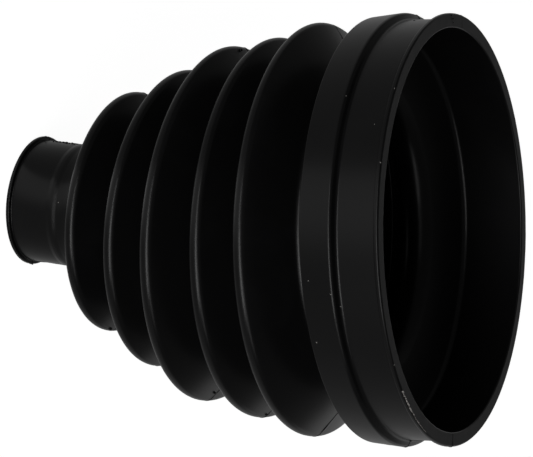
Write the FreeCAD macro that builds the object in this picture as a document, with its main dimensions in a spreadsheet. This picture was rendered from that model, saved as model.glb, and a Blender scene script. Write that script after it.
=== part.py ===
"""Rubber bellows boot: one moulding, open at both ends, standing on its small collar.

The frame has +Z up the small collar's axis and its origin in the middle of the small end's
face. From the bottom up: small collar with its end lip, clamp seat and locating ridge, five
convolutions that grow from one to the next, the shoulder, the band that the large clamp lies
against, the large clamp's seat and the rim round the mouth. From the second crest up to the
shoulder the boot bends towards -X, so its mouth leans. A lean of nothing gives the boot upright.
"""
import FreeCAD, Part
import Sketcher
import math
import os
from dataclasses import dataclass
from enum import IntEnum

NODE = "bellows_boot"

# Driving dimensions in millimetres, and slopes and the lean in degrees. Heights follow one
# another up the centre line, as they are on the upright boot.
SIZES = {
    # Small collar, which is clamped on the shaft
    "shaft_bore_diameter": 23.5,
    "shaft_wall": 2.0,
    "shaft_seat_width": 9.4,
    "lip_height": 0.8,
    "lip_thickness": 0.9,
    "ridge_height": 0.3,
    "ridge_width": 1.3,
    "flare_round": 3.0,
    # Convolutions: each crest's diameter, and its height above what comes before it
    "crest_one_diameter": 53.8,
    "crest_two_diameter": 66.1,
    "crest_three_diameter": 78.3,
    "crest_four_diameter": 83.0,
    "crest_five_diameter": 89.6,
    "crest_one_rise": 11.0,
    "crest_two_rise": 12.5,
    "crest_three_rise": 11.6,
    "crest_four_rise": 12.3,
    "crest_five_rise": 11.2,
    # The flank under a crest rises outwards by one slope, and the one above it inwards
    "under_flank_slope": 10.0,
    "upper_flank_slope": 37.0,
    "fold_wall": 2.5,
    "root_round": 1.5,
    # Shoulder between the last crest and the band
    "shoulder_rise": 9.1,
    "shoulder_lead": 5.2,
    "shoulder_wall": 3.1,
    "shoulder_inner_round": 0.8,
    # Mouth with the band and the rim, whose heights stand out from the clamp seat
    "mouth_bore_diameter": 85.8,
    "joint_wall": 1.95,
    "joint_seat_width": 8.4,
    "band_lower_height": 0.85,
    "band_upper_height": 1.55,
    "band_width": 6.85,
    "band_edge_round": 0.35,
    "step_rise": 0.65,
    "step_foot_round": 0.8,
    "rim_height": 1.15,
    "rim_thickness": 1.1,
    # Outer edges of the two ends, and the mouth's lead-in
    "rim_edge_round": 0.4,
    "lip_edge_bevel": 0.25,
    "mouth_bevel": 0.3,
    # The bend starts above the second crest, ends below the shoulder's root and leans the mouth
    "lean_angle": 6.88,
    "bend_lead": 1.4,
    "bend_tail": 2.3,
    # How far the core's profiles run past both open ends
    "core_overrun": 1.0,
}

CREST_NAMES = ("one", "two", "three", "four", "five")
SHEET_NAME = "Sizes"
# An edge this close to a ring, in millimetres, is the edge of that ring.
SAME_RING = 0.002
# Both kinds of finished edge, with the name that each has for its own size.
ROUND = "PartDesign::Fillet"
BEVEL = "PartDesign::Chamfer"
EDGE_SIZES = {ROUND: "Radius", BEVEL: "Size"}


class Spot(IntEnum):
    """Which point of a line or an arc a sketch's rule holds."""

    START = 1
    END = 2
    CENTRE = 3


@dataclass(frozen=True)
class Measure:
    """A value in millimetres or degrees, with the sheet formula that it comes from."""

    value: float
    formula: str

    def __add__(self, other):
        return Measure(self.value + other.value, f"({self.formula} + {other.formula})")

    def __sub__(self, other):
        return Measure(self.value - other.value, f"({self.formula} - {other.formula})")

    def __mul__(self, other):
        return Measure(self.value * other.value, f"({self.formula} * {other.formula})")

    def __truediv__(self, other):
        return Measure(self.value / other.value, f"({self.formula} / {other.formula})")

    def __neg__(self):
        return Measure(-self.value, f"(0 - {self.formula})")

    def half(self):
        return Measure(self.value / 2, f"({self.formula} / 2)")


ZERO = Measure(0.0, "0")


@dataclass(frozen=True)
class Corner:
    """A point where two straight lines of a profile meet, sharp or rounded off."""

    name: str
    across: Measure
    up: Measure
    round: Measure = None

    def point(self):
        """The corner in its sketch."""
        return FreeCAD.Vector(self.across.value, self.up.value, 0)


@dataclass(frozen=True)
class Ring:
    """A circle round the centre line, at a height up it."""

    name: str
    radius: Measure
    up: Measure


def size(name):
    """The driving dimension of that name."""
    return Measure(SIZES[name], f"{SHEET_NAME}.{name}")


def sine(angle):
    """Sine of an angle in degrees."""
    return Measure(math.sin(math.radians(angle.value)), f"sin({angle.formula})")


def cosine(angle):
    """Cosine of an angle in degrees."""
    return Measure(math.cos(math.radians(angle.value)), f"cos({angle.formula})")


def tangent(angle):
    """Tangent of an angle in degrees."""
    return Measure(math.tan(math.radians(angle.value)), f"tan({angle.formula})")


def at_least_zero(measure):
    """The measure, or nothing where it is negative."""
    return Measure(max(measure.value, 0.0), f"max({measure.formula}; 0)")


def smaller(first, second):
    """The smaller of two measures."""
    return Measure(min(first.value, second.value), f"min({first.formula}; {second.formula})")


def make_sheet(doc):
    """Write the driving dimensions into the document's sheet."""
    sheet = doc.addObject("Spreadsheet::Sheet", SHEET_NAME)
    for row, (name, value) in enumerate(SIZES.items(), start=1):
        sheet.set(f"A{row}", name)
        sheet.set(f"B{row}", str(value))
        sheet.setAlias(f"B{row}", name)
    doc.recompute()


def radii():
    """Every radius that more than one profile or edge uses."""
    radius = {"shaft_bore": size("shaft_bore_diameter").half()}
    radius["shaft_seat"] = radius["shaft_bore"] + size("shaft_wall")
    radius["lip"] = radius["shaft_seat"] + size("lip_height")
    radius["ridge"] = radius["shaft_seat"] + size("ridge_height")
    radius["mouth_bore"] = size("mouth_bore_diameter").half()
    radius["joint_seat"] = radius["mouth_bore"] + size("joint_wall")
    radius["band_lower"] = radius["joint_seat"] + size("band_lower_height")
    radius["band_upper"] = radius["joint_seat"] + size("band_upper_height")
    radius["rim"] = radius["joint_seat"] + size("rim_height")
    return radius


def heights():
    """Every level up the centre line, each counted from the one below it."""
    level = {"lip_top": size("lip_thickness")}
    level["seat_top"] = level["lip_top"] + size("shaft_seat_width")
    level["ridge_top"] = level["seat_top"] + size("ridge_width")
    below = level["ridge_top"]
    for crest in CREST_NAMES:
        below = below + size(f"crest_{crest}_rise")
        level[f"crest_{crest}"] = below
    level["shoulder"] = below + size("shoulder_rise")
    level["bend_start"] = level["crest_two"] + size("bend_lead")
    level["bend_end"] = level["shoulder"] - size("bend_tail")
    level["band_bottom"] = level["shoulder"] + size("shoulder_lead")
    level["mouth_floor"] = level["band_bottom"] + size("shoulder_wall")
    level["band_top"] = level["band_bottom"] + size("band_width")
    level["step_foot"] = level["band_top"] + size("step_rise")
    level["rim_bottom"] = level["step_foot"] + size("joint_seat_width")
    level["top"] = level["rim_bottom"] + size("rim_thickness")
    return level


def wall_shift():
    """How far the outside's corners lie outward of the core's, and how far below them.

    This shift keeps the wall's thickness on the flanks of both slopes.
    """
    under, upper = size("under_flank_slope"), size("upper_flank_slope")
    spread = size("fold_wall") / sine(under + upper)
    return spread * (cosine(under) + cosine(upper)), spread * (sine(upper) - sine(under))


def root_between(lower, upper, name):
    """The root's corner, where the flank above one crest meets the flank under the next."""
    inward, outward = tangent(size("upper_flank_slope")), tangent(size("under_flank_slope"))
    reach = lower.radius * inward + upper.radius * outward - (upper.up - lower.up)
    radius = reach / (inward + outward)
    return Ring(name, radius, lower.up + (lower.radius - radius) * inward)


def outer_corners(level):
    """The outside's sharp corners at every crest and root, from the first crest up."""
    outward, downward = wall_shift()
    crests = []
    for crest in CREST_NAMES:
        centre = size(f"crest_{crest}_diameter").half() - size("fold_wall")
        name = f"crest_{crest}"
        crests.append(Ring(name, centre + outward, level[name] - downward))
    corners = []
    for lower, upper in zip(crests, crests[1:]):
        corners += [lower, root_between(lower, upper, lower.name.replace("crest", "root"))]
    last = crests[-1]
    run = (level["shoulder"] - last.up) / tangent(size("upper_flank_slope"))
    return corners + [last, Ring("root_five", last.radius - run, level["shoulder"])]


def core_corners(level):
    """The core's sharp corners, each across the wall from the outside's corner."""
    outward, downward = wall_shift()
    return [
        Ring(f"core_{ring.name}", ring.radius - outward, ring.up + downward)
        for ring in outer_corners(level)
    ]


def flare_corner(name, neck, crest):
    """Where the flank under the first crest meets the neck."""
    drop = (crest.radius - neck) * tangent(size("under_flank_slope"))
    return Ring(name, neck, crest.up - drop)


def collar_outside(radius, level):
    """The outside from the small end's face up to the second crest's corner."""
    crest_one, root_one, crest_two = outer_corners(level)[:3]
    flare = flare_corner("flare", radius["shaft_seat"], crest_one)
    return [
        Corner("base_centre", ZERO, ZERO),
        Corner("lip_base", radius["lip"], ZERO),
        Corner("lip_top", radius["lip"], level["lip_top"]),
        Corner("seat_base", radius["shaft_seat"], level["lip_top"]),
        Corner("seat_top", radius["shaft_seat"], level["seat_top"]),
        Corner("ridge_base", radius["ridge"], level["seat_top"]),
        Corner("ridge_top", radius["ridge"], level["ridge_top"]),
        Corner("neck_base", radius["shaft_seat"], level["ridge_top"]),
        Corner("flare", flare.radius, flare.up, size("flare_round")),
        Corner("crest_one", crest_one.radius, crest_one.up, size("fold_wall")),
        Corner("root_one", root_one.radius, root_one.up, size("root_round")),
        Corner("crest_two", crest_two.radius, crest_two.up),
        Corner("crest_two_centre", ZERO, crest_two.up),
    ]


def collar_core(radius, level):
    """The hollow from below the small end's face up to the second crest's corner."""
    below = -size("core_overrun")
    crest_one, root_one, crest_two = core_corners(level)[:3]
    flare = flare_corner("flare", radius["shaft_bore"], crest_one)
    flare_round = size("flare_round") + size("shaft_wall")
    root_round = size("root_round") + size("fold_wall")
    return [
        Corner("bottom_centre", ZERO, below),
        Corner("bottom", radius["shaft_bore"], below),
        Corner("flare", flare.radius, flare.up, flare_round),
        Corner("crest_one", crest_one.radius, crest_one.up),
        Corner("root_one", root_one.radius, root_one.up, root_round),
        Corner("crest_two", crest_two.radius, crest_two.up),
        Corner("crest_two_centre", ZERO, crest_two.up),
    ]


def mouth_outside(radius, level):
    """The outside from the shoulder's root up to the mouth, counted from the bend's end."""
    root = outer_corners(level)[-1]
    start = level["bend_end"]
    band_edge = size("band_edge_round")
    step_foot_round = size("step_foot_round")
    return [
        Corner("root_centre", ZERO, root.up - start),
        Corner("root", root.radius, root.up - start),
        Corner("band_bottom", radius["band_lower"], level["band_bottom"] - start, band_edge),
        Corner("band_top", radius["band_upper"], level["band_top"] - start, band_edge),
        Corner("step_foot", radius["joint_seat"], level["step_foot"] - start, step_foot_round),
        Corner("joint_seat_top", radius["joint_seat"], level["rim_bottom"] - start),
        Corner("rim_bottom", radius["rim"], level["rim_bottom"] - start),
        Corner("rim_top", radius["rim"], level["top"] - start),
        Corner("top_centre", ZERO, level["top"] - start),
    ]


def mouth_core(radius, level):
    """The hollow from the shoulder's root to above the mouth, counted from the bend's end."""
    root = core_corners(level)[-1]
    start = level["bend_end"]
    floor = level["mouth_floor"] - start
    above = level["top"] + size("core_overrun") - start
    return [
        Corner("root_centre", ZERO, root.up - start),
        Corner("root", root.radius, root.up - start),
        Corner("mouth_floor", radius["mouth_bore"], floor, size("shoulder_inner_round")),
        Corner("mouth_top", radius["mouth_bore"], above),
        Corner("top_centre", ZERO, above),
    ]


def centre_line(level, up):
    """Where the centre line is at a height up it: across, up, and its tilt in degrees.

    Within the bend it is an arc, whose chord leans half as much as the arc's own end.
    """
    bend_length = level["bend_end"] - level["bend_start"]
    bent = smaller(at_least_zero(up - level["bend_start"]), bend_length)
    beyond = at_least_zero(up - level["bend_end"])
    tilt = size("lean_angle") * bent / bend_length
    across = bent * sine(tilt.half()) + beyond * sine(tilt)
    climb = bent * cosine(tilt.half()) + beyond * cosine(tilt)
    return -across, up - bent - beyond + climb, tilt


def set_rule(sketch, constraint, name, length):
    """Add a dimension to a sketch, under a name, and tie it to the sheet."""
    index = sketch.addConstraint(constraint)
    sketch.renameConstraint(index, name)
    sketch.setExpression(f"Constraints.{name}", length.formula)


def pin_point(sketch, geometry, spot, corner):
    """Hold one point of a sketch's geometry at the corner's place."""
    for kind, place, axis, word in (
        ("DistanceX", corner.across, -2, "across"),
        ("DistanceY", corner.up, -1, "up"),
    ):
        if place is ZERO:
            sketch.addConstraint(Sketcher.Constraint("PointOnObject", geometry, spot, axis))
        else:
            rule = Sketcher.Constraint(kind, -1, 1, geometry, spot, place.value)
            set_rule(sketch, rule, f"{corner.name}_{word}", place)


def round_off(sketch, corner, lines, headings):
    """Draw the arc that rounds a corner off, tangent to the lines on both sides of it."""
    radius = corner.round.value
    (arrive_x, arrive_y), (leave_x, leave_y) = headings
    cross = arrive_x * leave_y - arrive_y * leave_x
    turn = math.atan2(cross, arrive_x * leave_x + arrive_y * leave_y)
    side = math.copysign(1.0, turn)
    back = radius * math.tan(abs(turn) / 2)
    entry = corner.point() - FreeCAD.Vector(arrive_x, arrive_y, 0) * back
    centre = entry + FreeCAD.Vector(-arrive_y, arrive_x, 0) * (side * radius)
    first = math.atan2(entry.y - centre.y, entry.x - centre.x)
    circle = Part.Circle(centre, FreeCAD.Vector(0, 0, 1), radius)
    if side > 0:
        arc = Part.ArcOfCircle(circle, first, first + turn)
        spots = (Spot.START, Spot.END)
    else:
        arc = Part.ArcOfCircle(circle, first + turn, first)
        spots = (Spot.END, Spot.START)
    index = sketch.addGeometry(arc, False)
    set_rule(
        sketch, Sketcher.Constraint("Radius", index, radius), f"{corner.name}_round", corner.round
    )
    for line, line_spot, arc_spot in zip(lines, (Spot.END, Spot.START), spots):
        sketch.addConstraint(Sketcher.Constraint("Tangent", line, line_spot, index, arc_spot))


def draw_profile(sketch, corners):
    """Draw the closed profile through the corners, with an arc at each rounded one."""
    following = corners[1:] + corners[:1]
    headings = []
    for corner, after in zip(corners, following):
        heading = (after.point() - corner.point()).normalize()
        headings.append((heading.x, heading.y))
    backs = []
    for place, corner in enumerate(corners):
        arriving, leaving = FreeCAD.Vector(*headings[place - 1]), FreeCAD.Vector(*headings[place])
        turn = arriving.getAngle(leaving)
        backs.append(corner.round.value * math.tan(turn / 2) if corner.round else 0.0)
    lines = []
    for place, (corner, after) in enumerate(zip(corners, following)):
        heading = FreeCAD.Vector(*headings[place])
        start = corner.point() + heading * backs[place]
        end = after.point() - heading * backs[(place + 1) % len(corners)]
        lines.append(sketch.addGeometry(Part.LineSegment(start, end), False))
    for place, corner in enumerate(corners):
        around = (lines[place - 1], lines[place])
        if corner.round is None:
            joint = Sketcher.Constraint("Coincident", around[0], Spot.END, around[1], Spot.START)
            sketch.addConstraint(joint)
            pin_point(sketch, around[1], Spot.START, corner)
            continue
        round_off(sketch, corner, around, (headings[place - 1], headings[place]))
        mark = sketch.addGeometry(Part.Point(corner.point()), True)
        pin_point(sketch, mark, Spot.START, corner)
        for line in around:
            sketch.addConstraint(Sketcher.Constraint("PointOnObject", mark, Spot.START, line))


def new_sketch(body, name, role):
    """A sketch on one of the body's own planes."""
    plane = next(item for item in body.Origin.OriginFeatures if item.Role == role)
    sketch = body.newObject("Sketcher::SketchObject", name)
    sketch.AttachmentSupport = [(plane, "")]
    sketch.MapMode = "FlatFace"
    return sketch


def set_offset(sketch, across, up, up_axis, turn_axis, turn):
    """Move and turn a sketch on its plane, tied to the sheet."""
    base = FreeCAD.Vector(across.value, 0, 0)
    setattr(base, up_axis, up.value)
    sketch.AttachmentOffset = FreeCAD.Placement(base, FreeCAD.Rotation(turn_axis, turn.value))
    sketch.setExpression("AttachmentOffset.Base.x", across.formula)
    sketch.setExpression(f"AttachmentOffset.Base.{up_axis}", up.formula)
    sketch.setExpression("AttachmentOffset.Rotation.Angle", turn.formula)


def make_section(body, name, corners, level=None):
    """A sketch of one half of a turned section, upright or in line with the leaning mouth."""
    sketch = new_sketch(body, name, "XZ_Plane")
    if level is not None:
        across, up, tilt = centre_line(level, level["bend_end"])
        set_offset(sketch, across, up, "y", FreeCAD.Vector(0, 0, 1), tilt)
    draw_profile(sketch, corners)
    body.Document.recompute()
    return sketch


def make_ring(body, ring, level):
    """A circle square to the centre line, at its height up the bend."""
    sketch = new_sketch(body, f"ring_{ring.name}", "XY_Plane")
    across, up, tilt = centre_line(level, ring.up)
    set_offset(sketch, across, up, "z", FreeCAD.Vector(0, 1, 0), -tilt)
    circle = Part.Circle(FreeCAD.Vector(0, 0, 0), FreeCAD.Vector(0, 0, 1), ring.radius.value)
    index = sketch.addGeometry(circle, False)
    sketch.addConstraint(Sketcher.Constraint("Coincident", index, Spot.CENTRE, -1, Spot.START))
    set_rule(sketch, Sketcher.Constraint("Radius", index, ring.radius.value), "radius", ring.radius)
    return sketch


def turn_section(body, kind, name, sketch):
    """Turn a section all the way round its own upright axis, as a solid or as a cut."""
    feature = body.newObject(kind, name)
    feature.Profile = sketch
    feature.ReferenceAxis = (sketch, ["V_Axis"])
    feature.Angle = 360.0
    body.Document.recompute()
    return feature


def join_rings(body, kind, name, rings, level):
    """Join rings one after another with straight flanks, as a solid or as a cut."""
    sketches = [make_ring(body, ring, level) for ring in rings]
    feature = body.newObject(kind, name)
    feature.Profile = sketches[0]
    feature.Sections = sketches[1:]
    feature.Ruled = True
    body.Document.recompute()
    return feature


def ring_edges(shape, rings, level):
    """Names of the shape's circular edges that run along the given rings."""
    names = []
    for number, edge in enumerate(shape.Edges, start=1):
        curve = edge.Curve
        if not isinstance(curve, Part.Circle):
            continue
        for ring in rings:
            across, up, _ = centre_line(level, ring.up)
            off_centre = curve.Center.distanceToPoint(FreeCAD.Vector(across.value, 0, up.value))
            if max(abs(curve.Radius - ring.radius.value), off_centre) < SAME_RING:
                names.append(f"Edge{number}")
    return names


def finish_edges(body, kind, name, rings, level, edge_size):
    """Round or bevel the edges that run along the given rings."""
    names = ring_edges(body.Tip.Shape, rings, level)
    if len(names) != len(rings):
        raise ValueError(f"{name} found {len(names)} of its {len(rings)} edges")
    base = body.Tip
    feature = body.newObject(kind, name)
    feature.Base = (base, names)
    setattr(feature, EDGE_SIZES[kind], edge_size.value)
    feature.setExpression(EDGE_SIZES[kind], edge_size.formula)
    body.Document.recompute()


def make_outside(body, radius, level):
    """The boot's outside: collar and first fold, the bending folds, and the leaning mouth."""
    turn, join = "PartDesign::Revolution", "PartDesign::AdditiveLoft"
    collar = make_section(body, "CollarOutsideSection", collar_outside(radius, level))
    turn_section(body, turn, "CollarOutside", collar)
    rings = outer_corners(level)[2:]
    join_rings(body, join, "FoldsOutside", rings, level)
    mouth = make_section(body, "MouthOutsideSection", mouth_outside(radius, level), level)
    turn_section(body, turn, "MouthOutside", mouth)
    finish_edges(body, ROUND, "CrestRounds", rings[0::2], level, size("fold_wall"))
    finish_edges(body, ROUND, "RootRounds", rings[1::2], level, size("root_round"))


def make_core(body, radius, level):
    """The hollow, cut in the same three stretches as the outside."""
    turn, join = "PartDesign::Groove", "PartDesign::SubtractiveLoft"
    collar = make_section(body, "CollarCoreSection", collar_core(radius, level))
    turn_section(body, turn, "CollarCore", collar)
    rings = core_corners(level)[2:]
    join_rings(body, join, "FoldsCore", rings, level)
    mouth = make_section(body, "MouthCoreSection", mouth_core(radius, level), level)
    turn_section(body, turn, "MouthCore", mouth)
    inner_round = size("root_round") + size("fold_wall")
    finish_edges(body, ROUND, "InnerRootRounds", rings[1::2], level, inner_round)


def finish_ends(body, radius, level):
    """Round the rim's outer edges, and bevel the lip's and the mouth."""
    rim = [
        Ring("rim_bottom", radius["rim"], level["rim_bottom"]),
        Ring("rim_top", radius["rim"], level["top"]),
    ]
    lip = [
        Ring("lip_base", radius["lip"], ZERO),
        Ring("lip_top", radius["lip"], level["lip_top"]),
    ]
    mouth = [Ring("mouth", radius["mouth_bore"], level["top"])]
    finish_edges(body, ROUND, "RimEdges", rim, level, size("rim_edge_round"))
    finish_edges(body, BEVEL, "LipEdges", lip, level, size("lip_edge_bevel"))
    finish_edges(body, BEVEL, "MouthLeadIn", mouth, level, size("mouth_bevel"))


def make_boot(doc):
    """The whole boot as one body."""
    radius = radii()
    level = heights()
    body = doc.addObject("PartDesign::Body", "BellowsBoot")
    body.Label = NODE
    make_outside(body, radius, level)
    full = body.Tip.Shape.Volume
    make_core(body, radius, level)
    if body.Tip.Shape.Volume > full / 2:
        raise ValueError("the core was not cut away")
    finish_ends(body, radius, level)
    body.Placement = FreeCAD.Placement()
    doc.recompute()
    return body


def check(doc, body):
    """Stop if any object failed or the boot isn't one sound solid."""
    for item in doc.Objects:
        if "Invalid" in item.State or "Error" in item.State:
            raise ValueError(f"{item.Name} did not build: {item.State}")
    shape = body.Shape
    if shape.isNull() or not shape.isValid() or len(shape.Solids) != 1:
        raise ValueError(f"{body.Label} is not one valid solid")


def main():
    """Build the boot and write its solid."""
    doc = FreeCAD.newDocument("BellowsBootDocument")
    make_sheet(doc)
    body = make_boot(doc)
    check(doc, body)
    os.makedirs("parts", exist_ok=True)
    body.Shape.exportStep(f"parts/{NODE}.step")
    print(f"{NODE}: {body.Shape.Volume:.0f} cubic mm, {len(body.Shape.Faces)} faces")


main()
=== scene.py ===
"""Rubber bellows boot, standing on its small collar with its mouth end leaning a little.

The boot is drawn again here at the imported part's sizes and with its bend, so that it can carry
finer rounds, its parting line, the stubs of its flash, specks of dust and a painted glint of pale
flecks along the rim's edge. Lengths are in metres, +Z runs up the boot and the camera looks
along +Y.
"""

import logging
import math
import random
from collections.abc import Iterator, Sequence
from dataclasses import dataclass
from enum import Enum

import bmesh
import bpy
from mathutils import Matrix, Vector, noise

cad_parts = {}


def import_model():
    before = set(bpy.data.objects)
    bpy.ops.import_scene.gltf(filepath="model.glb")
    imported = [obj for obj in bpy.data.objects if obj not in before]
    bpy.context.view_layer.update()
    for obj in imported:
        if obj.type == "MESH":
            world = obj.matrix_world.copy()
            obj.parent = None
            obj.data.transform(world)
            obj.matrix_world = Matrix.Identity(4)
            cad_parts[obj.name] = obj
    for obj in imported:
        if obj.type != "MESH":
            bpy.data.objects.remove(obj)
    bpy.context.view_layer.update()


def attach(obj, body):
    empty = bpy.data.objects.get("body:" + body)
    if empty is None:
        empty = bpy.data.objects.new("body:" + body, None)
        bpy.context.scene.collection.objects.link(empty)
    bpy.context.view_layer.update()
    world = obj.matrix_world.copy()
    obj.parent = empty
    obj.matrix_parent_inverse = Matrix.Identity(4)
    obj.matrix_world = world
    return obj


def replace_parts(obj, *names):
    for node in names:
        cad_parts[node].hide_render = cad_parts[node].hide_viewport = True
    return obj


LOG = logging.getLogger("bellows_boot")
NODE = "bellows_boot"
BODY = "root"
TRIM_MARK = "trimmed"

# Two points that are closer than this are one point, whose key keeps as many digits.
SAME_POINT = 1e-7
KEY_DIGITS = 7
# A point this close to one of the boot's flat ends lies in it.
FACE_MARGIN = 1e-5
# The most that a strewn thing is off its place, as a share of a step.
STEP_JITTER = 0.3

Colour = tuple[float, float, float, float]


@dataclass(frozen=True)
class Corner:
    """A place of the section where two straight lines meet, sharp or rounded off."""

    across: float
    up: float
    round: float = 0.0

    @property
    def point(self) -> Vector:
        """The place in the section's plane."""
        return Vector((self.across, 0.0, self.up))

    def turn(self, arriving: float, leaving: float) -> tuple[Vector, Vector, float]:
        """Find the round that joins the line before the place to the line after it.

        Args:
            arriving: Heading of the line before the place, in radians.
            leaving: Heading of the line after the place, in radians.

        Returns:
            Where the round starts, its centre, and its angle in radians.
        """
        angle = math.remainder(leaving - arriving, math.tau)
        ahead = Vector((math.cos(arriving), 0.0, math.sin(arriving)))
        left = Vector((-math.sin(arriving), 0.0, math.cos(arriving)))
        start = self.point - ahead * self.round * math.tan(abs(angle) / 2)
        return start, start + left * math.copysign(self.round, angle), angle


@dataclass
class SectionPen:
    """Draws a chain of edges in the XZ plane, from one place of a section to the next.

    An arc has a piece for each arc_step, and at least arc_least of them. A line has a piece for
    each line_step and a short one at both ends, if it is longer than line_least short ones.
    """

    arc_step: float = math.radians(12.0)
    arc_least: int = 2
    line_step: float = 0.007
    line_margin: float = 0.00015
    line_least: int = 4

    def draw(self, mesh: bmesh.types.BMesh, places: list[Corner], closed: bool) -> None:
        """Draw the section through its places.

        Args:
            mesh: The mesh that takes the chain.
            places: The places in their order along the section.
            closed: Whether the chain returns to its first place.
        """
        headings = [
            math.atan2(after.up - place.up, after.across - place.across)
            for place, after in zip(places, places[1:] + places[:1])
        ]
        if not closed:
            headings[-1] = headings[-2]
        start = places[0].turn(headings[-1] if closed else headings[0], headings[0])[0]
        tip = mesh.verts.new(start)
        for number, place in enumerate(places):
            arriving = headings[number - 1] if number or closed else headings[0]
            begin, centre, angle = place.turn(arriving, headings[number])
            tip = self._line(mesh, tip, begin)
            tip = self._arc(mesh, tip, centre, angle, place.round)
        if closed:
            self._line(mesh, tip, start)
            bmesh.ops.remove_doubles(mesh, verts=mesh.verts[:], dist=SAME_POINT)

    def _line(
        self, mesh: bmesh.types.BMesh, tip: bmesh.types.BMVert, end: Vector
    ) -> bmesh.types.BMVert:
        """Extrude the tip straight to a point, with short pieces at both ends.

        The short pieces keep the shading of the rounds off the flat stretch between them.

        Args:
            mesh: The mesh that holds the chain.
            tip: The chain's last point so far.
            end: Where the line ends.

        Returns:
            The chain's new last point.
        """
        way = end - tip.co
        if way.length < SAME_POINT:
            return tip
        steps = [way]
        if way.length > self.line_least * self.line_margin:
            margin = way.normalized() * self.line_margin
            between = way - margin * 2
            pieces = math.ceil(between.length / self.line_step)
            steps = [margin] + [between / pieces] * pieces + [margin]
        for step in steps:
            tip = bmesh.ops.extrude_vert_indiv(mesh, verts=[tip])["verts"][0]
            bmesh.ops.translate(mesh, verts=[tip], vec=step)
        return tip

    def _arc(
        self,
        mesh: bmesh.types.BMesh,
        tip: bmesh.types.BMVert,
        centre: Vector,
        angle: float,
        radius: float,
    ) -> bmesh.types.BMVert:
        """Spin the tip about a round's centre, unless the place is sharp.

        Args:
            mesh: The mesh that holds the chain.
            tip: The chain's last point so far, where the round starts.
            centre: The round's centre.
            angle: The round's angle in radians.
            radius: The round's radius, which is 0 at a sharp place.

        Returns:
            The chain's new last point.
        """
        if radius == 0.0:
            return tip
        made = bmesh.ops.spin(
            mesh,
            geom=[tip],
            cent=centre,
            axis=(0.0, -1.0, 0.0),
            dvec=(0.0, 0.0, 0.0),
            angle=angle,
            steps=max(self.arc_least, math.ceil(abs(angle) / self.arc_step)),
            use_merge=False,
            use_normal_flip=False,
            use_duplicate=False,
        )
        return next(v for v in made["geom_last"] if isinstance(v, bmesh.types.BMVert))


@dataclass(frozen=True)
class CentreLine:
    """The boot's centre line: upright, then an arc towards -X, then straight to the mouth."""

    lean: float = math.radians(6.88)
    start: float = 0.0365
    end: float = 0.077

    def place(self, spot: Vector) -> Vector:
        """Carry a point of the upright boot to where it lies on the bent one.

        Args:
            spot: The point on the upright boot.

        Returns:
            The same point of the rubber on the bent boot.
        """
        bent = min(max(spot.z - self.start, 0.0), self.end - self.start)
        beyond = max(spot.z - self.end, 0.0)
        tilt = self.lean * bent / (self.end - self.start)
        across = spot.x * math.cos(tilt) - bent * math.sin(tilt / 2) - beyond * math.sin(tilt)
        climb = bent * math.cos(tilt / 2) + beyond * math.cos(tilt)
        up = spot.z - bent - beyond + climb + spot.x * math.sin(tilt)
        return Vector((across, spot.y, up))

    def bend(self, mesh: bmesh.types.BMesh) -> None:
        """Bend a whole upright mesh along the centre line."""
        for vert in mesh.verts:
            vert.co = self.place(vert.co)


class Effect(Enum):
    """The shader node groups that the finishes share."""

    MOULDED_GRAIN = "moulded_grain"
    HANDLING_FILM = "handling_film"


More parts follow.
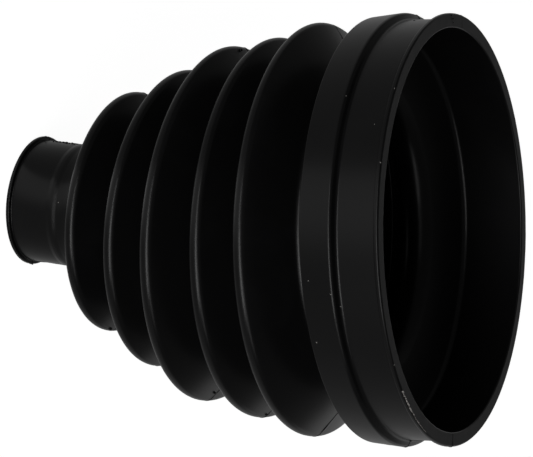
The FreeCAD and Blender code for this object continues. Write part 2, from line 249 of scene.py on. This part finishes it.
@dataclass(frozen=True)
class EffectShelf:
    """Builds each shared node group once and places it in the materials."""

    grain_detail: float = 3.0
    film_detail: float = 5.0
    film_distortion: float = 0.6
    film_width: float = 0.25

    def place(self, material: bpy.types.Material, effect: Effect) -> bpy.types.ShaderNodeGroup:
        """Place an effect in a material.

        Args:
            material: The material that takes the effect.
            effect: Which effect.

        Returns:
            The group's node, whose inputs are still at their defaults.
        """
        group = bpy.data.node_groups.get(effect.value)
        if group is None:
            group = bpy.data.node_groups.new(effect.value, "ShaderNodeTree")
            makers = {
                Effect.MOULDED_GRAIN: self._moulded_grain,
                Effect.HANDLING_FILM: self._handling_film,
            }
            makers[effect](group)
        node = material.node_tree.nodes.new("ShaderNodeGroup")
        node.node_tree = group
        return node

    def _socket(self, group: bpy.types.NodeTree, name: str, way: str, kind: str) -> None:
        """Give a group a named socket of a kind, as its INPUT or its OUTPUT."""
        group.interface.new_socket(name=name, in_out=way, socket_type=f"NodeSocket{kind}")

    def _moulded_grain(self, group: bpy.types.NodeTree) -> None:
        """Build the soft unevenness of a moulded skin, as a normal.

        Args:
            group: The group, still empty.
        """
        self._socket(group, "Vector", "INPUT", "Vector")
        self._socket(group, "Scale", "INPUT", "Float")
        self._socket(group, "Depth", "INPUT", "Float")
        self._socket(group, "Normal", "INPUT", "Vector")
        self._socket(group, "Normal", "OUTPUT", "Vector")
        nodes, links = group.nodes, group.links
        entry = nodes.new("NodeGroupInput")
        leave = nodes.new("NodeGroupOutput")
        grain = nodes.new("ShaderNodeTexNoise")
        grain.inputs["Detail"].default_value = self.grain_detail
        bump = nodes.new("ShaderNodeBump")
        links.new(entry.outputs["Vector"], grain.inputs["Vector"])
        links.new(entry.outputs["Scale"], grain.inputs["Scale"])
        links.new(grain.outputs["Fac"], bump.inputs["Height"])
        links.new(entry.outputs["Depth"], bump.inputs["Distance"])
        links.new(entry.outputs["Normal"], bump.inputs["Normal"])
        links.new(bump.outputs["Normal"], leave.inputs["Normal"])

    def _handling_film(self, group: bpy.types.NodeTree) -> None:
        """Build the faint film that handling leaves, as a mask.

        Args:
            group: The group, still empty.
        """
        self._socket(group, "Vector", "INPUT", "Vector")
        self._socket(group, "Scale", "INPUT", "Float")
        self._socket(group, "Start", "INPUT", "Float")
        self._socket(group, "Mask", "OUTPUT", "Float")
        nodes, links = group.nodes, group.links
        entry = nodes.new("NodeGroupInput")
        leave = nodes.new("NodeGroupOutput")
        cloud = nodes.new("ShaderNodeTexNoise")
        cloud.inputs["Detail"].default_value = self.film_detail
        cloud.inputs["Distortion"].default_value = self.film_distortion
        ramp = nodes.new("ShaderNodeMapRange")
        full = math_node(group, "ADD", entry.outputs["Start"], self.film_width)
        links.new(entry.outputs["Vector"], cloud.inputs["Vector"])
        links.new(entry.outputs["Scale"], cloud.inputs["Scale"])
        links.new(cloud.outputs["Fac"], ramp.inputs["Value"])
        links.new(entry.outputs["Start"], ramp.inputs["From Min"])
        links.new(full, ramp.inputs["From Max"])
        links.new(ramp.outputs["Result"], leave.inputs["Mask"])


def math_node(
    tree: bpy.types.NodeTree, operation: str, *terms: float | bpy.types.NodeSocket
) -> bpy.types.NodeSocket:
    """Add a math node to a tree.

    Args:
        tree: The material's or the group's node tree.
        operation: What the node does.
        terms: Its inputs in their order, each a number or the socket that feeds it.

    Returns:
        The socket that gives the result.
    """
    node = tree.nodes.new("ShaderNodeMath")
    node.operation = operation
    for socket, term in zip(node.inputs, terms):
        if isinstance(term, bpy.types.NodeSocket):
            tree.links.new(term, socket)
        else:
            socket.default_value = term
    return node.outputs[0]


@dataclass(frozen=True)
class Grain:
    """One layer of moulded grain: its scale and its depth."""

    scale: float
    depth: float


@dataclass(frozen=True)
class RubberFinish:
    """Black satin rubber as it comes out of the mould, rough and greyer where it was trimmed."""

    name: str = "black_rubber"
    colour: Colour = (0.0026, 0.0026, 0.0027, 1.0)
    film_colour: Colour = (0.0036, 0.0036, 0.0038, 1.0)
    cut_colour: Colour = (0.006, 0.006, 0.0063, 1.0)
    index: float = 1.25
    roughness: float = 0.275
    film_roughness: float = 0.295
    cut_roughness: float = 0.5
    film_scale: float = 55.0
    film_start: float = 0.5
    grains: tuple[Grain, ...] = (Grain(70.0, 0.00003), Grain(2200.0, 0.000005))

    def build(self) -> bpy.types.Material:
        """Make the material.

        Returns:
            The material.
        """
        material = bpy.data.materials.new(self.name)
        material.use_nodes = True
        nodes, links = material.node_tree.nodes, material.node_tree.links
        shader = nodes["Principled BSDF"]
        shader.inputs["IOR"].default_value = self.index
        shelf = EffectShelf()
        place = nodes.new("ShaderNodeTexCoord").outputs["Object"]
        film = shelf.place(material, Effect.HANDLING_FILM)
        film.inputs["Scale"].default_value = self.film_scale
        film.inputs["Start"].default_value = self.film_start
        links.new(place, film.inputs["Vector"])
        skin = nodes.new("ShaderNodeNewGeometry").outputs["Normal"]
        for layer in self.grains:
            grain = shelf.place(material, Effect.MOULDED_GRAIN)
            grain.inputs["Scale"].default_value = layer.scale
            grain.inputs["Depth"].default_value = layer.depth
            links.new(place, grain.inputs["Vector"])
            links.new(skin, grain.inputs["Normal"])
            skin = grain.outputs["Normal"]
        links.new(skin, shader.inputs["Normal"])
        cut = nodes.new("ShaderNodeAttribute")
        cut.attribute_name = TRIM_MARK
        tints = [self.colour, self.film_colour, self.cut_colour]
        shades = [self.roughness, self.film_roughness, self.cut_roughness]
        masks = [film.outputs["Mask"], cut.outputs["Fac"]]
        tint = self._layers(material, "RGBA", tints, masks)
        shade = self._layers(material, "FLOAT", shades, masks)
        links.new(tint, shader.inputs["Base Color"])
        links.new(shade, shader.inputs["Roughness"])
        return material

    def _layers(
        self,
        material: bpy.types.Material,
        kind: str,
        values: Sequence[float | Colour],
        masks: Sequence[bpy.types.NodeSocket],
    ) -> bpy.types.NodeSocket:
        """Lay each value over the ones before it, where its mask says.

        Args:
            material: The material that takes the mix nodes.
            kind: RGBA for colours or FLOAT for numbers.
            values: The values, lowest first.
            masks: A mask for each value but the lowest.

        Returns:
            The socket that gives the result.
        """
        nodes, links = material.node_tree.nodes, material.node_tree.links
        result = None
        for over, mask in zip(values[1:], masks):
            mix = nodes.new("ShaderNodeMix")
            mix.data_type = kind
            factor, below, above = (socket for socket in mix.inputs if socket.enabled)
            if result is None:
                below.default_value = values[0]
            else:
                links.new(result, below)
            above.default_value = over
            links.new(mask, factor)
            result = next(socket for socket in mix.outputs if socket.enabled)
        return result


@dataclass(frozen=True)
class DustAndGlintFinish:
    """Pale matt dust, whose colour also paints a glint along the rim's edge."""

    name: str = "pale_dust_and_glint"
    # The pale colour is the dust's own, and on the rim's edge flecks it is a painted glint.
    colour: Colour = (0.2, 0.19, 0.18, 1.0)
    roughness: float = 0.9

    def build(self) -> bpy.types.Material:
        """Make the material.

        Returns:
            The material.
        """
        material = bpy.data.materials.new(self.name)
        material.use_nodes = True
        shader = material.node_tree.nodes["Principled BSDF"]
        shader.inputs["Base Color"].default_value = self.colour
        shader.inputs["Roughness"].default_value = self.roughness
        return material


@dataclass(frozen=True)
class Crest:
    """A convolution's crest: its radius and its level up the centre line."""

    radius: float
    up: float


@dataclass
class BellowsBoot:
    """The boot itself: one moulding with its collar, folds, shoulder, band, groove and rim."""

    centre_line: CentreLine
    finish: bpy.types.Material
    shaft_bore: float = 0.01175
    shaft_seat: float = 0.01375
    lip: float = 0.01455
    lip_top: float = 0.0009
    seat_top: float = 0.0103
    ridge: float = 0.01395
    ridge_top: float = 0.0116
    flare_round: float = 0.007
    crests: tuple[Crest, ...] = (
        Crest(0.02690, 0.0227),
        Crest(0.03305, 0.0354),
        Crest(0.03915, 0.0470),
        Crest(0.04150, 0.0593),
        Crest(0.04480, 0.0705),
    )
    under_slope: float = math.radians(10.0)
    upper_slope: float = math.radians(37.0)
    wall: float = 0.0025
    crest_round: float = 0.0016
    root_round: float = 0.0015
    shoulder: float = 0.0804
    band_lower: float = 0.0457
    band_upper: float = 0.0464
    band_bottom: float = 0.0845
    band_top: float = 0.09135
    joint_seat: float = 0.04485
    step_foot: float = 0.092
    rim: float = 0.046
    rim_bottom: float = 0.1004
    mouth_bore: float = 0.0429
    mouth_floor: float = 0.0876
    inner_ridge_in: float = 0.0008
    inner_ridge_down: float = 0.0011
    top: float = 0.1015
    lip_round: float = 0.00025
    lip_root_round: float = 0.0002
    ridge_round: float = 0.001
    ridge_foot: float = 0.0006
    ridge_head: float = 0.0003
    band_foot_round: float = 0.00035
    band_round: float = 0.0008
    groove_round: float = 0.0003
    rim_round: float = 0.0004
    bore_edge_round: float = 0.0003
    mouth_floor_round: float = 0.0014
    inner_crest_round: float = 0.0004
    trim_depth: float = 0.00004
    trim_scale: float = 420.0
    around: int = 208

    def in_mouth_face(self, spot: Vector) -> bool:
        """Tell whether a point of the upright boot lies in the mouth's flat face."""
        return spot.z > self.top - FACE_MARGIN

    def corner_shift(self, offset: float) -> tuple[float, float]:
        """Find how far a fold's corner moves when its flanks move out.

        Args:
            offset: How far the flanks move.

        Returns:
            The corner's way outward and its way down.
        """
        spread = offset / math.sin(self.under_slope + self.upper_slope)
        outward = spread * (math.cos(self.under_slope) + math.cos(self.upper_slope))
        downward = spread * (math.sin(self.upper_slope) - math.sin(self.under_slope))
        return outward, downward

    def fold_corners(self) -> list[tuple[float, float]]:
        """Find the outside's sharp corners at the crests and the roots.

        Returns:
            The radius and the level of each corner, crest and root in turn from the bottom up.
        """
        outward, downward = self.corner_shift(self.crest_round)
        inward_rise, outward_rise = math.tan(self.upper_slope), math.tan(self.under_slope)
        crests = [
            (crest.radius - self.crest_round + outward, crest.up - downward)
            for crest in self.crests
        ]
        corners = []
        for lower, upper in zip(crests, crests[1:]):
            reach = lower[0] * inward_rise + upper[0] * outward_rise - upper[1] + lower[1]
            root = reach / (inward_rise + outward_rise)
            corners += [lower, (root, lower[1] + (lower[0] - root) * inward_rise)]
        last = crests[-1]
        shoulder_root = last[0] - (self.shoulder - last[1]) / inward_rise
        return corners + [last, (shoulder_root, self.shoulder)]

    def flare(self, neck: float, crest: tuple[float, float], bend: float) -> Corner:
        """Return the corner of a bend where the flank under a crest's corner meets the neck."""
        drop = (crest[0] - neck) * math.tan(self.under_slope)
        return Corner(neck, crest[1] - drop, bend)

    def outside(self) -> list[Corner]:
        """Lay out the places of the outside.

        Returns:
            The places, from the small end's face up to the mouth.
        """
        corners = self.fold_corners()
        places = [
            Corner(self.lip, 0.0, self.lip_round),
            Corner(self.lip, self.lip_top, self.lip_round),
            Corner(self.shaft_seat, self.lip_top, self.lip_root_round),
            Corner(self.shaft_seat, self.seat_top - self.ridge_foot, self.ridge_round),
            Corner(self.ridge, self.seat_top + self.ridge_head, self.ridge_round),
            Corner(self.ridge, self.ridge_top - self.ridge_head, self.ridge_round),
            Corner(self.shaft_seat, self.ridge_top + self.ridge_foot, self.ridge_round),
            self.flare(self.shaft_seat, corners[0], self.flare_round),
        ]
        rounds = (self.crest_round, self.root_round)
        places += [Corner(*spot, rounds[number % 2]) for number, spot in enumerate(corners)]
        return places + [
            Corner(self.band_lower, self.band_bottom, self.band_foot_round),
            Corner(self.band_upper, self.band_top, self.band_round),
            Corner(self.joint_seat, self.step_foot, self.band_round),
            Corner(self.joint_seat, self.rim_bottom, self.groove_round),
            Corner(self.rim, self.rim_bottom, self.rim_round),
            Corner(self.rim, self.top, self.rim_round),
        ]

    def inside(self) -> list[Corner]:
        """Lay out the places of the inside.

        Returns:
            The places, from the mouth down to the small end's face.
        """
        outward, downward = self.corner_shift(self.wall)
        corners = [(across - outward, up + downward) for across, up in self.fold_corners()]
        across, up = corners[-1]
        corners[-1] = (across - self.inner_ridge_in, up - self.inner_ridge_down)
        rounds = (self.inner_crest_round, self.root_round + self.wall)
        folds = [Corner(*spot, rounds[number % 2]) for number, spot in enumerate(corners)]
        neck_round = self.flare_round + self.shaft_seat - self.shaft_bore
        return [
            Corner(self.mouth_bore, self.top, self.bore_edge_round),
            Corner(self.mouth_bore, self.mouth_floor, self.mouth_floor_round),
            *reversed(folds),
            self.flare(self.shaft_bore, corners[0], neck_round),
            Corner(self.shaft_bore, 0.0, self.bore_edge_round),
        ]

    def build(self) -> bpy.types.Object:
        """Turn the section into the boot, bend it and dress it.

        Returns:
            The boot's object.
        """
        mesh = bmesh.new()
        SectionPen().draw(mesh, self.outside() + self.inside(), closed=True)
        bmesh.ops.spin(
            mesh,
            geom=mesh.verts[:] + mesh.edges[:],
            cent=(0.0, 0.0, 0.0),
            axis=(0.0, 0.0, 1.0),
            dvec=(0.0, 0.0, 0.0),
            angle=math.tau,
            steps=self.around,
            use_merge=True,
            use_normal_flip=False,
            use_duplicate=False,
        )
        bmesh.ops.remove_doubles(mesh, verts=mesh.verts[:], dist=SAME_POINT)
        bmesh.ops.recalc_face_normals(mesh, faces=mesh.faces[:])
        self._mark_trimmed(mesh)
        self.centre_line.bend(mesh)
        return finished_piece("moulded_boot", mesh, self.finish)

    def _mark_trimmed(self, mesh: bmesh.types.BMesh) -> None:
        """Mark the mouth's flat face, which was cut, and leave it a little uneven.

        Args:
            mesh: The upright boot's mesh.
        """
        mark = mesh.verts.layers.float.new(TRIM_MARK)
        for vert in mesh.verts:
            if self.in_mouth_face(vert.co):
                vert[mark] = 1.0
                vert.co.z += self.trim_depth * noise.noise(vert.co * self.trim_scale)


@dataclass(frozen=True)
class Stub:
    """A small lump on the boot's skin: its level, azimuth in degrees, radius and half width.

    Its shape is stretched at random within a span along each axis, and tilted at random.
    """

    level: float
    azimuth: float
    radius: float
    half: float
    stretches: tuple[tuple[float, float], ...] = ((0.5, 0.9), (0.7, 1.3), (0.7, 1.5))
    tilts: tuple[float, float] = (-0.9, 0.9)

    def build(self, mesh: bmesh.types.BMesh, line: CentreLine, rough: random.Random) -> None:
        """Add the lump to a mesh.

        Args:
            mesh: The mesh that takes it.
            line: The boot's centre line.
            rough: The source of its uneven shape.
        """
        turn = math.radians(self.azimuth)
        spot = Vector((self.radius * math.cos(turn), self.radius * math.sin(turn), self.level))
        made = bmesh.ops.create_icosphere(mesh, subdivisions=1, radius=self.half)["verts"]
        stretch = [rough.uniform(*span) for span in self.stretches]
        bmesh.ops.scale(mesh, verts=made, vec=stretch)
        tilt = Matrix.Rotation(rough.uniform(*self.tilts), 3, "X")
        facing = Matrix.Rotation(turn, 3, "Z") @ tilt
        bmesh.ops.rotate(mesh, verts=made, cent=(0.0, 0.0, 0.0), matrix=facing)
        bmesh.ops.translate(mesh, verts=made, vec=line.place(spot))


def strewn(run: tuple[float, float], count: int, rough: random.Random) -> Iterator[float]:
    """Go along a run in uneven steps.

    Args:
        run: Where the run starts and ends.
        count: How many places it has.
        rough: The source of the unevenness, drawn from once as each place is asked for.

    Yields:
        The places.
    """
    first, last = run
    for number in range(count):
        yield first + (last - first) * (number + rough.uniform(-STEP_JITTER, STEP_JITTER)) / count


@dataclass
class PartingFlash:
    """The fine raised line and the torn stubs that the mould's two halves leave.

    The line's height is a share of rise, which swings about the first of wave_shares by up to
    the second. On the mouth's face it is mouth_share of that.
    """

    boot: BellowsBoot
    azimuths: tuple[float, ...] = (177.5, -2.0)
    rise: float = 0.00012
    root: float = 0.0002
    thick: float = 0.00014
    line_step: float = 0.0009
    mouth_inset: float = 0.0003
    mouth_share: float = 0.5
    wave_scale: float = 500.0
    wave_shares: tuple[float, float] = (0.55, 0.9)
    stubs: tuple[Stub, ...] = (
        Stub(0.04845, -176.0, 0.0384, 0.0005),
        Stub(0.04935, -4.1, 0.0372, 0.0005),
        Stub(0.06065, -3.2, 0.0408, 0.0005),
        Stub(0.02385, -6.9, 0.0265, 0.00045),
        Stub(0.0012, -172.5, 0.0146, 0.0003),
        Stub(0.0009, -2.0, 0.0146, 0.0003),
        Stub(0.0922, -2.8, 0.0450, 0.0003),
        Stub(0.0947, -168.6, 0.0448, 0.00035),
        Stub(0.1015, -174.8, 0.0448, 0.0003),
        Stub(0.1015, -175.6, 0.0440, 0.00022),
        Stub(0.1015, -173.9, 0.0455, 0.00025),
    )
    torn_run: tuple[float, float] = (0.0034, 0.0095)
    torn_bits: int = 17
    torn_azimuths: tuple[float, float] = (-174.5, -171.5)
    torn_halves: tuple[float, float] = (0.00018, 0.0003)
    torn_proud: float = 0.00012
    seed: int = 11

    def build(self) -> bpy.types.Object:
        """Make both lines and the stubs as one piece.

        Returns:
            The piece's object.
        """
        mesh = bmesh.new()
        for azimuth in self.azimuths:
            self._line(mesh, azimuth)
        self.boot.centre_line.bend(mesh)
        rough = random.Random(self.seed)
        for stub in (*self.stubs, *self._torn_stubs(rough)):
            stub.build(mesh, self.boot.centre_line, rough)
        bmesh.ops.recalc_face_normals(mesh, faces=mesh.faces[:])
        return finished_piece("parting_flash", mesh, self.boot.finish)

    def _torn_stubs(self, rough: random.Random) -> list[Stub]:
        """Line up the torn bits of flash that stand along the small collar.

        Args:
            rough: The source of their unevenness.

        Returns:
            The bits, from the bottom up.
        """
        bits = []
        for level in strewn(self.torn_run, self.torn_bits, rough):
            radius = self.boot.shaft_seat + rough.uniform(0.0, self.torn_proud)
            azimuth = rough.uniform(*self.torn_azimuths)
            bits.append(Stub(level, azimuth, radius, rough.uniform(*self.torn_halves)))
        return bits

    def _line(self, mesh: bmesh.types.BMesh, azimuth: float) -> None:
        """Add one line, from the small end's face over the rim to the mouth's edge.

        Args:
            mesh: The mesh that takes the line, upright.
            azimuth: Where the line stands, in degrees.
        """
        fin = bmesh.new()
        last = Corner(self.boot.mouth_bore + self.mouth_inset, self.boot.top)
        SectionPen(line_step=self.line_step).draw(fin, self.boot.outside() + [last], closed=False)
        outward = self._outward(fin)
        bmesh.ops.extrude_edge_only(fin, edges=fin.edges[:])
        middle, swing = self.wave_shares
        raised = set()
        for vert in fin.verts:
            key = vert.co.to_tuple(KEY_DIGITS)
            if key in raised:
                vert.co -= outward[key] * self.root
            else:
                raised.add(key)
                wave = noise.noise(Vector((vert.co.x, azimuth, vert.co.z)) * self.wave_scale)
                low = self.mouth_share if self.boot.in_mouth_face(vert.co) else 1.0
                vert.co += outward[key] * self.rise * low * (middle + swing * wave)
        bmesh.ops.solidify(fin, geom=fin.faces[:], thickness=self.thick)
        turn = Matrix.Rotation(math.radians(azimuth), 3, "Z")
        bmesh.ops.rotate(fin, verts=fin.verts[:], cent=(0.0, 0.0, 0.0), matrix=turn)
        carrier = bpy.data.meshes.new("fin")
        fin.to_mesh(carrier)
        fin.free()
        mesh.from_mesh(carrier)
        bpy.data.meshes.remove(carrier)

    def _outward(self, fin: bmesh.types.BMesh) -> dict[tuple[float, ...], Vector]:
        """Find which way is out of the rubber at each point of the section's chain.

        Args:
            fin: The mesh that holds the chain and nothing else.

        Returns:
            The outward direction for each point, under its rounded place.
        """
        ends = (vert for vert in fin.verts if len(vert.link_edges) == 1)
        chain = [next(vert for vert in ends if vert.co.z < FACE_MARGIN)]
        left = set(fin.verts) - {chain[0]}
        while left:
            neighbours = (edge.other_vert(chain[-1]) for edge in chain[-1].link_edges)
            ahead = next(vert for vert in neighbours if vert in left)
            left.remove(ahead)
            chain.append(ahead)
        outward = {}
        for before, vert, after in zip(chain[:1] + chain[:-1], chain, chain[1:] + chain[-1:]):
            along = (after.co - before.co).normalized()
            outward[vert.co.to_tuple(KEY_DIGITS)] = Vector((along.z, 0.0, -along.x))
        return outward


@dataclass
class DustAndPaintedGlint:
    """Specks of dust that lie on the band, the groove and the rim, and a painted glint: a broken
    line of pale flecks along the rim's edge.
    """

    boot: BellowsBoot
    finish: bpy.types.Material
    specks: tuple[Stub, ...] = (
        Stub(0.0914, -124.1, 0.0464, 0.00013),
        Stub(0.10125, -126.7, 0.0460, 0.00014),
        Stub(0.09825, -116.6, 0.04487, 0.00013),
        Stub(0.1013, -105.4, 0.0460, 0.00013),
        Stub(0.0861, -75.7, 0.0459, 0.00013),
        Stub(0.0908, -72.4, 0.04635, 0.00016),
        Stub(0.09205, -68.6, 0.0450, 0.00013),
        Stub(0.1015, -52.3, 0.0458, 0.00015),
        Stub(0.0858, -58.8, 0.04585, 0.00013),
        Stub(0.01275, -91.7, 0.0138, 0.00014),
    )
    # The run of pale flecks along the rim's edge is a painted glint, not dust.
    glint_run: tuple[float, float] = (-43.0, -22.5)
    glint_flecks: int = 52
    glint_insets: tuple[float, float] = (0.0001, 0.0003)
    glint_halves: tuple[float, ...] = (0.00008, 0.00012, 0.00017)
    glint_growth: float = 1.7
    glint_drop: float = 0.00003
    seed: int = 29

    def build(self) -> bpy.types.Object:
        """Make the dust specks and the flecks of painted glint as one piece.

        Returns:
            The piece's object.
        """
        mesh = bmesh.new()
        rough = random.Random(self.seed)
        # The listed specks are dust; the rim's edge flecks are a painted glint.
        for speck in (*self.specks, *self._painted_glint_flecks(rough)):
            speck.build(mesh, self.boot.centre_line, rough)
        bmesh.ops.recalc_face_normals(mesh, faces=mesh.faces[:])
        return finished_piece("dust_and_painted_glint", mesh, self.finish)

    def _painted_glint_flecks(self, rough: random.Random) -> list[Stub]:
        """Strew a broken line of pale flecks along the torn stretch of the rim's edge, as a
        painted glint of its highlight.

        Args:
            rough: The source of their unevenness.

        Returns:
            The flecks, which grow smaller along the stretch.
        """
        flecks = []
        for number, azimuth in enumerate(strewn(self.glint_run, self.glint_flecks, rough)):
            radius = self.boot.rim - rough.uniform(*self.glint_insets)
            half = rough.choice(self.glint_halves) * (self.glint_growth - number / self.glint_flecks)
            flecks.append(Stub(self.boot.top - self.glint_drop, azimuth, radius, half))
        return flecks


def finished_piece(
    name: str, mesh: bmesh.types.BMesh, finish: bpy.types.Material
) -> bpy.types.Object:
    """Make a shown object of the boot from a bmesh.

    Args:
        name: The object's name.
        mesh: The mesh, which is freed.
        finish: The material.

    Returns:
        The object, riding on the boot's body.
    """
    data = bpy.data.meshes.new(name)
    mesh.to_mesh(data)
    mesh.free()
    data.shade_smooth()
    data.materials.append(finish)
    piece = bpy.data.objects.new(name, data)
    bpy.context.scene.collection.objects.link(piece)
    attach(piece, BODY)
    LOG.info("%s: %d faces", name, len(data.polygons))
    return piece


@dataclass
class PhotoCamera:
    """The camera at the photograph's viewing angle, rolled so that the boot lies across it."""

    location: Vector = Vector((-0.015325, -0.565220, 0.306332))
    elevation: float = math.radians(23.775)
    swing: float = math.radians(1.5166)
    roll: float = math.radians(97.515)
    lens: float = 190.7
    sensor: float = 36.0
    nearest: float = 0.01
    farthest: float = 60.0

    def build(self) -> None:
        """Make the camera and make it the scene's own."""
        data = bpy.data.cameras.new("photo_camera")
        data.sensor_fit = "HORIZONTAL"
        data.sensor_width = self.sensor
        data.lens = self.lens
        data.clip_start = self.nearest
        data.clip_end = self.farthest
        camera = bpy.data.objects.new("photo_camera", data)
        level = Matrix.Rotation(-self.swing, 4, "Z") @ Matrix.Rotation(
            math.pi / 2 - self.elevation, 4, "X"
        )
        rolled = level @ Matrix.Rotation(self.roll, 4, "Z")
        camera.matrix_world = Matrix.Translation(self.location) @ rolled
        bpy.context.scene.collection.objects.link(camera)
        bpy.context.scene.camera = camera


@dataclass(frozen=True)
class SoftLamp:
    """A soft rectangular lamp that faces the boot.

    Its middle and its extent are angles in degrees, seen from the boot: the azimuth runs from
    +X towards +Y, so that the camera is at 270. A level of 1 looks white.
    """

    name: str
    azimuth: float
    elevation: float
    wide: float
    high: float
    level: float
    distance: float = 2.0
    aim: Vector = Vector((0.0, 0.0, 0.05))

    def build(self) -> None:
        """Hang the lamp."""
        turn, climb = math.radians(self.azimuth), math.radians(self.elevation)
        way = Vector(
            (math.cos(climb) * math.cos(turn), math.cos(climb) * math.sin(turn), math.sin(climb))
        )
        data = bpy.data.lights.new(self.name, "AREA")
        data.shape = "RECTANGLE"
        data.size = 2 * self.distance * math.cos(climb) * math.tan(math.radians(self.wide / 2))
        data.size_y = 2 * self.distance * math.tan(math.radians(self.high / 2))
        data.energy = self.level * math.pi * data.size * data.size_y
        lamp = bpy.data.objects.new(self.name, data)
        lamp.location = self.aim + way * self.distance
        lamp.rotation_euler = (-way).to_track_quat("-Z", "Y").to_euler()
        lamp.visible_camera = False
        bpy.context.scene.collection.objects.link(lamp)


@dataclass
class Studio:
    """A white floor, a plain room and soft lamps, none of them part of the boot.

    In gloss the floor is as bright as it looks only in a wedge in front of the boot, whose two
    sides are bright_edge and bright_fade: each is a way towards +X for each step towards the
    camera, from where the side starts to where it ends. Elsewhere its share is floor_gloss.
    """

    floor_size: float = 40.0
    floor_drop: float = 0.00002
    floor_grey: float = 0.25
    floor_white: float = 0.95
    floor_gloss: float = 0.31
    bright_aside: float = 0.0045
    bright_edge: tuple[float, float] = (-0.5, -0.42)
    bright_fade: tuple[float, float] = (-0.05, 0.4)
    room_grey: float = 0.12
    lamps: tuple[SoftLamp, ...] = (
        SoftLamp("front_low_softbox", 292.5, 10.0, 45.0, 16.0, 7.8),
        SoftLamp("front_left_softbox", 258.75, 5.5, 22.5, 7.0, 7.6),
        SoftLamp("front_right_softbox", 315.0, 26.0, 45.0, 16.0, 1.8),
        SoftLamp("front_fill", 270.0, 26.0, 45.0, 16.0, 0.35),
        SoftLamp("back_fill", 78.75, 10.0, 67.5, 16.0, 0.45),
    )

    def floor(self) -> None:
        """Lay the floor that the boot stands on."""
        mesh = bmesh.new()
        bmesh.ops.create_grid(mesh, x_segments=1, y_segments=1, size=self.floor_size / 2)
        data = bpy.data.meshes.new("studio_floor")
        mesh.to_mesh(data)
        mesh.free()
        data.materials.append(self._floor_material())
        floor = bpy.data.objects.new("studio_floor", data)
        floor.location.z = -self.floor_drop
        bpy.context.scene.collection.objects.link(floor)

    def _floor_material(self) -> bpy.types.Material:
        """Make the floor white where it is seen, with the boot's shadow still on it.

        Returns:
            The material.
        """
        material = bpy.data.materials.new("white_floor")
        material.use_nodes = True
        tree = material.node_tree
        nodes, links = tree.nodes, tree.links
        nodes.clear()
        output = nodes.new("ShaderNodeOutputMaterial")
        total = nodes.new("ShaderNodeAddShader")
        matt = nodes.new("ShaderNodeBsdfDiffuse")
        glow = nodes.new("ShaderNodeEmission")
        path = nodes.new("ShaderNodeLightPath")
        matt.inputs["Color"].default_value = (self.floor_grey,) * 3 + (1.0,)
        rays = path.outputs
        seen = math_node(tree, "ADD", rays["Is Camera Ray"], rays["Is Transmission Ray"])
        share = self._bright_front(tree)
        shown = math_node(tree, "MULTIPLY_ADD", rays["Is Glossy Ray"], share, seen)
        white = math_node(tree, "MULTIPLY", shown, self.floor_white)
        links.new(white, glow.inputs["Strength"])
        links.new(matt.outputs[0], total.inputs[0])
        links.new(glow.outputs[0], total.inputs[1])
        links.new(total.outputs[0], output.inputs["Surface"])
        return material

    def _bright_front(self, tree: bpy.types.NodeTree) -> bpy.types.NodeSocket:
        """Work out the floor's share in gloss: all of it in front of the boot, less elsewhere.

        Args:
            tree: The floor material's node tree.

        Returns:
            The socket that gives the share.
        """
        nodes, links = tree.nodes, tree.links
        place = nodes.new("ShaderNodeTexCoord")
        split = nodes.new("ShaderNodeSeparateXYZ")
        links.new(place.outputs["Object"], split.inputs["Vector"])
        ahead = math_node(tree, "MULTIPLY", split.outputs["Y"], -1.0)
        aside = math_node(tree, "ADD", split.outputs["X"], self.bright_aside)
        slant = math_node(tree, "DIVIDE", aside, ahead)
        share = math_node(tree, "GREATER_THAN", ahead, 0.0)
        for span, ends in ((self.bright_edge, (0.0, 1.0)), (self.bright_fade, (1.0, 0.0))):
            step = nodes.new("ShaderNodeMapRange")
            step.interpolation_type = "SMOOTHSTEP"
            step.inputs["From Min"].default_value, step.inputs["From Max"].default_value = span
            step.inputs["To Min"].default_value, step.inputs["To Max"].default_value = ends
            links.new(slant, step.inputs["Value"])
            share = math_node(tree, "MULTIPLY", step.outputs["Result"], share)
        return math_node(tree, "MULTIPLY_ADD", share, 1.0 - self.floor_gloss, self.floor_gloss)

    def room(self) -> None:
        """Fill the room with a plain even light."""
        world = bpy.data.worlds.new("plain_room")
        world.use_nodes = True
        background = world.node_tree.nodes["Background"]
        background.inputs["Color"].default_value = (self.room_grey,) * 3 + (1.0,)
        bpy.context.scene.world = world

    def build(self) -> None:
        """Set up the floor, the room and the lamps."""
        self.floor()
        self.room()
        for lamp in self.lamps:
            lamp.build()


def main() -> None:
    """Build the boot, its studio and its camera."""
    logging.basicConfig(level=logging.INFO, format="%(message)s")
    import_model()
    bpy.context.scene.view_settings.view_transform = "Standard"
    boot = BellowsBoot(CentreLine(), RubberFinish().build())
    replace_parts(boot.build(), NODE)
    PartingFlash(boot).build()
    # Dust specks, and pale flecks on the rim's edge as a painted glint.
    DustAndPaintedGlint(boot, DustAndGlintFinish().build()).build()
    Studio().build()
    PhotoCamera().build()


if __name__ == "__main__":
    main()
